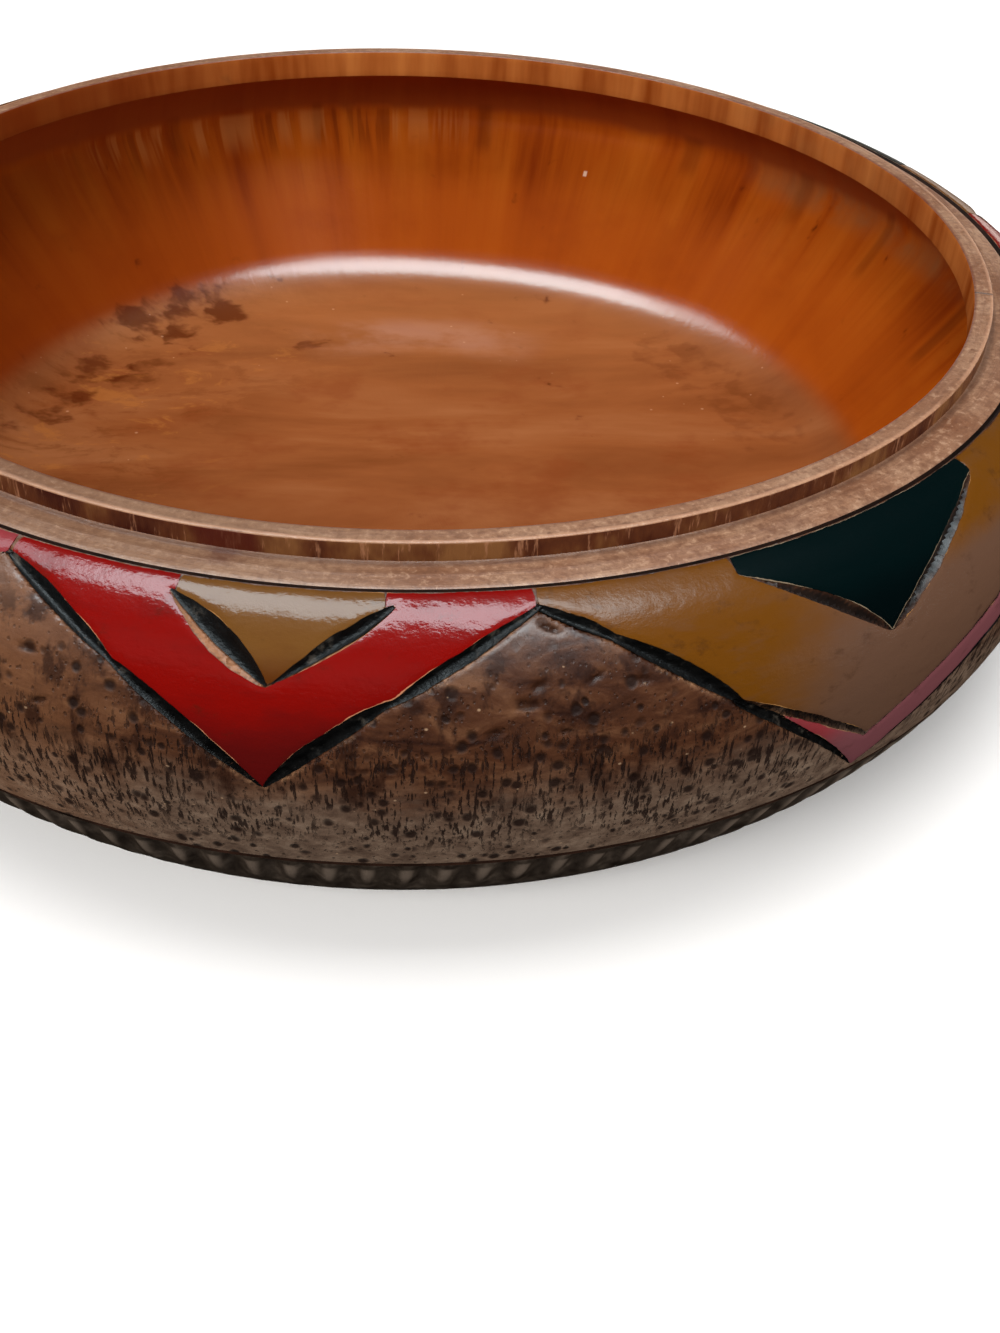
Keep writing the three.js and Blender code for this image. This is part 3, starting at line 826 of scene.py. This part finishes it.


# Paint has its colour near the ledge, its colour far down, and the bare wood that shows where it is worn. Where the
# far colour is darker, as on the red, the ochre and the teal, it is painted shade.
# Chip is how far its edges are worn, share how much of their length, and haze how rough its gloss is.
def paintFinish(name, near, far, worn, roughness=0.45, coat=0.5, chip=0.3, depth=0.12, share=0.0, dirt=0.35,
                haze=0.12):
    f = Finish(name, coat=coat, coatRoughness=haze, specular=0.04)
    broad = f.grain(70, 70, 70, 4, 0.6)
    brush = f.grain(150, 150, 600, 4, 0.6)
    fade = f.plus(f.mark("fade"), f.times(f.minus(broad, 0.5), 0.7))
    f.colour = tone(*near)
    # Towards the fade's end the paint turns to its far colour, painted shade where that is darker
    f.over(far, f.step(fade, 0.1, 0.9))
    f.over(far, f.step(brush, 0.45, 0.75, 0.0, 0.3))
    grime = f.step(f.grain(210, 210, 320, 5, 0.7), 0.56, 0.7)
    f.over((40, 20, 10), grime, dirt)
    edge = f.mark("edge")
    ragged = f.grain(420, 420, 420, 3, 0.7)
    where = f.step(f.grain(85, 85, 85, 2, shift=(3, 1, 0)), 0.54 - share, 0.7 - share)
    reach = f.times(f.step(ragged, 0.3, 0.75, 0.15, 1.0), f.times(where, chip))
    bare = f.step(edge, reach, f.times(reach, 0.7))
    distance, dice, _ = f.cells(f.stretched(95, 95, 95))
    fleck = f.times(f.step(distance, 0.06, 0.035), f.sum("LESS_THAN", dice, 0.08))
    bare = f.most(bare, fleck)
    f.over(worn, bare)
    ripple = f.grain(190, 190, 260, 5, 0.68)
    normal = f.bump(f.plus(ripple, f.times(brush, 0.5)), depth, 0.9)
    rough = f.plus(f.step(brush, 0.2, 0.8, roughness - 0.05, roughness + 0.08), f.times(bare, 0.2))
    return f.finish(rough, normal)


def blackPaint():
    f = Finish("black paint", coat=0.05, coatRoughness=0.3, specular=0.3)
    tool = f.grain(380, 380, 700, 5, 0.7)
    broad = f.grain(300, 300, 300, 4, 0.7)
    f.colour = f.ramp(tool, (0.4, 5, 5, 5), (0.62, 14, 14, 14), (0.8, 40, 40, 38))
    f.over((78, 72, 64), f.step(broad, 0.57, 0.72, 0.0, 0.5))
    return f.finish(f.step(broad, 0.3, 0.7, 0.42, 0.62), f.bump(f.plus(tool, broad), 0.35, 0.9))


# Where single marks are, as bearings in degrees round from the front
rimMarks = {"stain": -13.5, "crack": 74.1}
innerMarks = {
    "darkBearing": -112,
    "fleckBearing": 157,
    "reflectionBearing": 178,
    "dripBearing": -162,
    "scuffBearing": 117,
    # Blots on the floor: bearing, half their spread, the radii they lie between in metres, how full and how strong
    "blots": [(-140, 10, 0.080, 0.095, 0.56, 0.75), (-112, 13, 0.076, 0.089, 0.51, 0.7),
              (-126, 9, 0.069, 0.081, 0.48, 0.5), (-157, 4, 0.058, 0.065, 0.52, 0.6),
              (118, 20, 0.070, 0.088, 0.52, 0.28)],
    # Upright marks: bearing, half width and the two heights in mm, and strength. The first, at 98 degrees, is a
    # painted shadow edge below the lip
    "stripes": [(98, 1.5, 25, 43, 0.4), (171, 1.8, 33, 43, 0.35), (-168, 1.2, 34, 43, 0.3),
                (144, 2.4, 35, 43, 0.35), (-150, 1.6, 35, 43, 0.25), (128, 2.0, 33, 43, 0.3),
                (115, 1.2, 30, 43, 0.3)],
}

print("bowl: mixing the paint")
paints = {
    "red_paint": paintFinish("red paint", (107, 5, 2), (74, 8, 7), (160, 108, 78), roughness=0.4, coat=0.6,
                             depth=0.18),
    "ochre_paint": paintFinish("ochre paint", (90, 58, 22), (72, 36, 8), (140, 100, 58)),
    "mustard_paint": paintFinish("mustard paint", (88, 51, 5), (82, 58, 44), (140, 100, 58), depth=0.16, haze=0.25),
    "mauve_paint": paintFinish("mauve paint", (118, 42, 46), (102, 58, 62), (130, 90, 70), coat=0.4),
    "teal_paint": paintFinish("teal paint", (1, 11, 12), (1, 7, 8), (112, 98, 80), coat=0.05, chip=0.2, depth=0.06,
                              share=0.14, dirt=0.0),
}
black = blackPaint()

print("bowl: laying the paint")
for name, field in fields.items():
    turn, run, faces = patchOf(field["edge"], paint["cell"], lambda *spots: insideField(name, *spots))
    deep = insideField(name, turn, run)
    lift = paint["thickness"] * (0.15 + 0.85 * smooth(deep, 0.0, paint["roundedOver"]))
    (turn0, height0), (turn1, height1) = field["fade"]
    along = np.array([math.radians(turn1 - turn0) * block["bellyRadius"], height1 - height0])
    height = outer.at(run)[1]
    from0 = np.stack([(turn - math.radians(turn0)) * block["bellyRadius"], height - height0], axis=1)
    # The fade is none near the ledge and brings in the far colour further down, painted shade where that is darker
    fade = np.minimum(smooth(from0 @ along / (along @ along), 0, 1), smooth(height, 55.5, 48.5))
    marks = {"edge": np.tile(np.clip(deep, 0, 5), 2), "fade": np.tile(fade, 2)}
    layPatch(name, "Coat", turn, run, faces, lift, -paint["rooted"], paints[field["slot"]], marks)

print("bowl: filling the cuts")
for name, cut in cuts.items():
    if cut["bank"] is None:
        continue
    turn, run, faces = patchOf(cut["line"], paint["fillCell"], lambda turn, run: np.minimum(
        inCut(name, turn, run, cut["bank"])[0], run - paint["fillGap"]))
    deep = inCut(name, turn, run)[1]
    layPatch(name, "Fill", turn, run, faces, paint["fillAbove"] - deep, -deep - paint["fillRooted"],
             black, sharp=60)


# The rows of the turned block, from the base over the rim to the floor: radius, height, the way out, the
# finish from there on, the kind of row and how many facets run together
def turnedRows():
    b = block
    r = b["edgeRound"]
    rows = []

    def add(radius, height, outR, outZ, zone, kind="plain", columns=1):
        size = math.hypot(outR, outZ)
        rows.append((radius, height, outR / size, outZ / size, zone, kind, columns))

    # A worn edge: side is 1 on the outside and -1 on the inside, and up is -1 where it faces down
    def addEdge(radius, height, side, up, angle, zone, columns=1):
        turn = math.radians(angle)
        add(radius - side * r * (1 - math.cos(turn)), height - up * r * (1 - math.sin(turn)),
            side * math.cos(turn), up * math.sin(turn), zone, columns=columns)

    for radius, columns in b["underRows"]:
        add(radius, 0, 0, -1, "under", columns=columns)
    add(b["baseRadius"] - 0.6, 0, 0, -1, "under")
    add(b["baseRadius"], 0.08, 0.3, -1, "under")
    foot = outer.runAt(b["footCornerHeight"])
    line = outer.runAt(b["notchLineHeight"])
    half = b["lineWidth"] / 2
    for run in np.linspace(foot, line + half + 0.2, b["footRows"]):
        radius, height, outR, outZ = outer.at(run)
        add(radius, height, outR, outZ, "foot", "foot")
    for off, depth in ((half, 0.02), (half * 0.6, 0.5), (0.1, 1.0), (-0.1, 1.0), (-half * 0.6, 0.5), (-half, 0.02)):
        radius, height, outR, outZ = outer.at(line + off)
        deep = depth * b["lineDepth"]
        zone = "line" if off > -half else "belly"
        add(radius - deep * outR, height - deep * outZ, outR, outZ, zone)
    top = line - half - b["bellyStep"]
    for run in np.linspace(top, 0, int(top / b["bellyStep"]) + 1):
        radius, height, outR, outZ = outer.at(run)
        add(radius, height, outR, outZ, "line" if run == 0 else "belly", "belly")
    # The line round the ledge, the ledge, the collar and its step
    start = outer.start
    seat = b["rimHeight"] - b["seatStep"]
    collar = b["mouthRadius"] + b["collarWall"]
    for share, depth, outR in ((0.3, 0.55, 0.3), (0.5, 1, 0), (0.62, 1, 0)):
        add(start[0] - share * b["lineWidth"], start[1] - depth * b["lineDepth"], outR, 1, "line")
    add(start[0] - 0.95 * b["lineWidth"], seat - 0.5 * r, 0.9, 0.5, "ledge")
    add(start[0] - b["lineWidth"] - 0.7 * r, seat - 0.05, 0.3, 1, "ledge")
    for radius, lift in b["ledgeRows"]:
        add(radius, seat + lift, 0, 1, "ledge")
    add(collar + 0.35, seat - 0.04, 0.3, 1, "ledge")
    add(collar + 0.02, seat + 0.12, 1, 0.6, "step")
    for lift in b["stepRows"]:
        add(collar, seat + lift, 1, 0, "step")
    for angle in (0, 30, 60, 90):
        addEdge(collar, b["rimHeight"], 1, 1, angle, "ledge" if angle else "step")
    for radius in b["rimRows"]:
        add(radius, b["rimHeight"], 0, 1, "ledge")
    mouth = b["mouthRadius"]
    for angle in (90, 60, 30, 0):
        addEdge(mouth, b["rimHeight"], -1, 1, angle, "ledge" if angle > 30 else "inside")
    for height in b["lipRows"]:
        add(mouth, height, -1, 0, "inside")
    bottom = b["rimHeight"] - b["lipFace"]
    for angle in (0, 35, 70):
        addEdge(mouth, bottom, -1, -1, angle, "inside", 2)
    # The undercut, the wall, the floor's edge and the floor
    for turn in np.linspace(0, math.pi / 2, b["hollowRows"] + 1)[1:]:
        add(mouth + (b["cavityRadius"] - mouth) * math.sin(turn),
            bottom - (bottom - b["cavityHeight"]) * (1 - math.cos(turn)),
            -math.sin(turn), -math.cos(turn) - 0.01, "inside", columns=2)
    slope, fillet = b["wallSlope"], b["floorFillet"]
    foot = np.array([b["floorRadius"] + fillet * math.sin(slope), b["floorHeight"] + fillet * (1 - math.cos(slope))])
    widest = np.array([b["cavityRadius"], b["cavityHeight"]])
    bend = np.array([widest[0], foot[1] + (widest[0] - foot[0]) * math.tan(slope)])
    for share in np.linspace(0.08, 1, b["hollowRows"]):
        at = (1 - share) ** 2 * widest + 2 * share * (1 - share) * bend + share ** 2 * foot
        heading = (1 - share) * (bend - widest) + share * (foot - bend)
        add(at[0], at[1], heading[1], -heading[0], "inside", columns=2)
    for angle in np.linspace(slope, 0, b["hollowRows"])[1:]:
        add(b["floorRadius"] + fillet * math.sin(angle), b["floorHeight"] + fillet * (1 - math.cos(angle)),
            -math.sin(angle), math.cos(angle), "inside", columns=2)
    for radius, columns in b["floorRows"]:
        add(radius, b["floorHeight"], 0, 1, "inside", columns=columns)
    return rows


# Torn spots on the shoulder, as short scars that lie any way
scars = {
    "count": 150,
    "depth": 0.35,
    "run": (3, 22),             # how far down from the ledge they lie
    "lean": (-0.5, 0.5),
    "length": (0.6, 2.0),
    "width": (0.35, 0.8),
}


def scarMark(turn, run):
    dice = np.random.default_rng(23)
    mark = np.zeros(turn.shape)
    for _ in range(scars["count"]):
        where, along = dice.uniform(0, 2 * math.pi), dice.uniform(*scars["run"])
        angle, length, width = [dice.uniform(*scars[part]) for part in ("lean", "length", "width")]
        radius = outer.at(along)[0]
        away = (turn - where + math.pi) % (2 * math.pi) - math.pi
        x, y = away * radius, run - along
        long = x * math.cos(angle) + y * math.sin(angle)
        wide = -x * math.sin(angle) + y * math.cos(angle)
        size = np.hypot(long / length, wide / width)
        mark = np.maximum(mark, np.clip(1.2 - size, 0, 1))
    return mark


def footShape(turn, height):
    part = height / block["notchLineHeight"]
    count = notches["count"]
    index = turn * count / (2 * math.pi) + notches["lean"] * part
    dice = np.random.default_rng(31).uniform(-1, 1, count)
    which = np.floor(index + 0.5).astype(int) % count
    across = np.abs(index - np.floor(index + 0.5)) * 2
    swell = smooth(part, 0.99, 0.86) * smooth(part, 0.2, 0.85)
    depth = notches["depth"] * (1 + notches["uneven"] * dice[which])
    wave = 0.5 + 0.5 * np.cos(math.pi * across)
    return depth * swell * wave, (1 - wave) * swell


print("bowl: turning the block")
rows = turnedRows()
columns = block["columns"]
allTurns = 2 * math.pi * np.arange(columns) / columns
bellyRuns = np.array([outer.runAt(row[1]) for row in rows if row[5] == "belly"])
shiftColumns = columns // 12        # a repeat starts this far left of the front
patternTurns = 2 * math.pi * (np.arange(columns // repeats) - shiftColumns) / columns
turn, run = np.meshgrid(patternTurns, bellyRuns)
sunk, lip, darkCut, bank = [np.zeros(turn.shape) for _ in range(4)]
for name, cut in cuts.items():
    inside, depth = inCut(name, turn, run)
    bare = cut["bank"] is None
    below = 0.0 if bare else paint["undercut"] * smooth(inside, -0.4, 0.4)
    sunk = np.maximum(sunk, depth + below)
    if bare:
        darkCut = np.maximum(darkCut, smooth(inside, -0.1, 0.25))
    else:
        lip = np.maximum(lip, smooth(inside, -0.5, 0.1))
        if cut["bank"] > paint["leastBank"]:
            filled = inCut(name, turn, run, cut["bank"])[0]
            bank = np.maximum(bank, smooth(inside, -0.2, 0.1) * smooth(filled, 0.1, -0.15))
fade = smooth(run, 0.0, 0.8)
sunk, lip, darkCut, bank = [np.roll(np.tile(values * fade, (1, repeats)), -shiftColumns, axis=1)
                            for values in (sunk, lip, darkCut, bank)]
scar = scarMark(*np.meshgrid(allTurns, bellyRuns)) * smooth(sunk, 0.15, 0.0)
bellyMarks = {"lip": lip, "darkCut": darkCut, "bank": bank, "scar": scar}

# Each ring has its first point, how many it has and its finish
points, rings, marks = [], [], {mark: [] for mark in (*bellyMarks, "ridge")}
bellyIndex = 0
for radius, height, outR, outZ, zone, kind, every in rows:
    turn = allTurns[::every]
    lift = np.zeros(len(turn))
    rowMarks = {mark: lift for mark in marks}
    if kind == "belly":
        rowMarks.update({mark: values[bellyIndex] for mark, values in bellyMarks.items()})
        lift = -sunk[bellyIndex] - scars["depth"] * rowMarks["scar"]
        bellyIndex += 1
    if kind == "foot":
        depth, rowMarks["ridge"] = footShape(turn, height)
        lift = -depth
    reach = radius + lift * outR
    rings.append((sum(len(ring) for ring in points), len(turn), zone))
    points.append(np.stack([reach * np.sin(turn), -reach * np.cos(turn), height + lift * outZ], axis=1))
    for mark in marks:
        marks[mark].append(rowMarks[mark])

finishes = {"under": underWood(), "foot": footWood(), "belly": bellyWood(), "line": darkLine(),
            "ledge": ledgeWood(), "step": stepWood(), "inside": insideWood()}
zoneOrder = list(finishes)
faces, faceZones = [], []
for (a, n, zone), (c, m, _) in zip(rings, rings[1:]):
    few = min(n, m)
    low, high = n // few, m // few
    faces += [[a + k * low + j for j in range(low)] + [a + (k + 1) * low % n, c + (k + 1) * high % m] +
              [c + k * high + j for j in reversed(range(high))] for k in range(few)]
    faceZones += [zoneOrder.index(zone)] * few
for (first, count, zone), way in ((rings[0], -1), (rings[-1], 1)):
    faces.append([first + k for k in range(count)][::way])
    faceZones.append(zoneOrder.index(zone))
points = np.concatenate(points)
marks = {mark: np.concatenate(values) for mark, values in marks.items()}
body = meshPiece("turnedBlock", points, faces, finishes["under"], ["bowl_block"], marks, 32)
for zone in zoneOrder[1:]:
    body.data.materials.append(finishes[zone])
body.data.polygons.foreach_set("material_index", np.array(faceZones, np.int32))
body.data.update()

print("bowl: setting up the studio")
studio = {
    "floorSize": 3.0,
    "floorTone": tone(244, 244, 244),
    "skyTone": (0.92, 0.95, 1.0, 1.0),
    "skyStrength": 0.35,
    "lens": 37.8,
    "cameraPlace": Vector((0.0, -0.249, 0.1615)),
    "yaw": math.radians(4.54),
    "pitch": math.radians(39.79),
    "roll": math.radians(2.78),
    # The strip hangs askew over the bowl, where the highlights on the floor's edge and on the shoulder put it
    "stripTone": (0.80, 0.94, 1.0),
    "stripWidth": 0.34,
    "stripSpin": -26,
    "strips": (("ceiling strip", (-0.054, -0.021, 0.95), 0.925, 12.2),
               ("dimmer end of the strip", (-0.616, 0.253, 0.95), 0.325, 2.0)),
    # Wide panels give the even light, and two low ones brighten the sides and the foot: place, target, size, power
    "panelTone": (1.0, 0.97, 0.93),
    "panels": (("ceiling panel", (0.0, 0.08, 1.0), (0, 0.08, 0), (0.9, 0.7), 10.0, (1.0, 0.98, 0.96)),
               ("front panel", (-0.45, -0.95, 0.82), (0, 0, 0.03), (1.3, 0.5), 15.0),
               ("right panel", (0.95, -0.45, 0.12), (0, 0, 0.03), (0.5, 0.22), 7.0),
               ("left panel", (-0.95, -0.4, 0.12), (0, 0, 0.03), (0.5, 0.22), 4.4)),
    # A long low panel behind the bowl pales what is seen at a glancing angle beyond the ledge
    "backPanel": ("back panel", (0.55, 1.15, 0.11), (0, 0, 0.06), (1.7, 0.2), 2.6, (1.0, 0.9, 0.8)),
}

floorMesh = bpy.data.meshes.new("floor")
half = studio["floorSize"] / 2
floorMesh.from_pydata([(-half, -half, 0), (half, -half, 0), (half, half, 0), (-half, half, 0)], [], [(0, 1, 2, 3)])
floorObject = bpy.data.objects.new("floor", floorMesh)
bpy.context.scene.collection.objects.link(floorObject)
floorFinish = Finish("pale floor", specular=0.1)
floorFinish.colour = studio["floorTone"]
floorMesh.materials.append(floorFinish.finish(0.9))
# The floor catches the shadow but sends no light back up, so the belly stays as dark as it is in the photograph
floorObject.visible_diffuse = False
floorObject.visible_glossy = False

world = bpy.data.worlds.new("studio")
world.use_nodes = True
world.node_tree.nodes["Background"].inputs["Color"].default_value = studio["skyTone"]
world.node_tree.nodes["Background"].inputs["Strength"].default_value = studio["skyStrength"]
bpy.context.scene.world = world
world.cycles_visibility.glossy = False


def softLight(name, place, target, size, power, colour=studio["panelTone"], spin=0.0):
    light = bpy.data.lights.new(name, "AREA")
    light.shape = "RECTANGLE"
    light.size, light.size_y = size
    light.energy = power
    light.color = colour
    lamp = bpy.data.objects.new(name, light)
    lamp.location = place
    aim = (Vector(target) - Vector(place)).to_track_quat("-Z", "Y").to_matrix()
    lamp.rotation_euler = (Matrix.Rotation(math.radians(spin), 3, "Z") @ aim).to_euler()
    bpy.context.scene.collection.objects.link(lamp)
    return lamp


for name, place, length, power in studio["strips"]:
    strip = softLight(name, place, (place[0], place[1], 0), (length, studio["stripWidth"]), power,
                      studio["stripTone"], studio["stripSpin"])
    strip.visible_diffuse = False
for panel in studio["panels"]:
    softLight(*panel).visible_glossy = False
back = softLight(*studio["backPanel"])
back.visible_diffuse = False
back.visible_camera = False

camera = bpy.data.cameras.new("camera")
camera.lens = studio["lens"]
camera.sensor_width = 36
camera.sensor_fit = "AUTO"
camera.clip_start = 0.01
yaw, pitch, roll = studio["yaw"], studio["pitch"], studio["roll"]
forward = Vector((math.sin(yaw) * math.cos(pitch), math.cos(yaw) * math.cos(pitch), -math.sin(pitch)))
right = Vector((math.cos(yaw), -math.sin(yaw), 0))
up = right.cross(forward)
right, up = math.cos(roll) * right + math.sin(roll) * up, -math.sin(roll) * right + math.cos(roll) * up
cameraObject = bpy.data.objects.new("camera", camera)
cameraObject.matrix_world = Matrix.Translation(studio["cameraPlace"]) @ Matrix(
    (right, up, -forward)).transposed().to_4x4()
bpy.context.scene.collection.objects.link(cameraObject)
bpy.context.scene.camera = cameraObject
bpy.context.scene.view_settings.view_transform = "Standard"
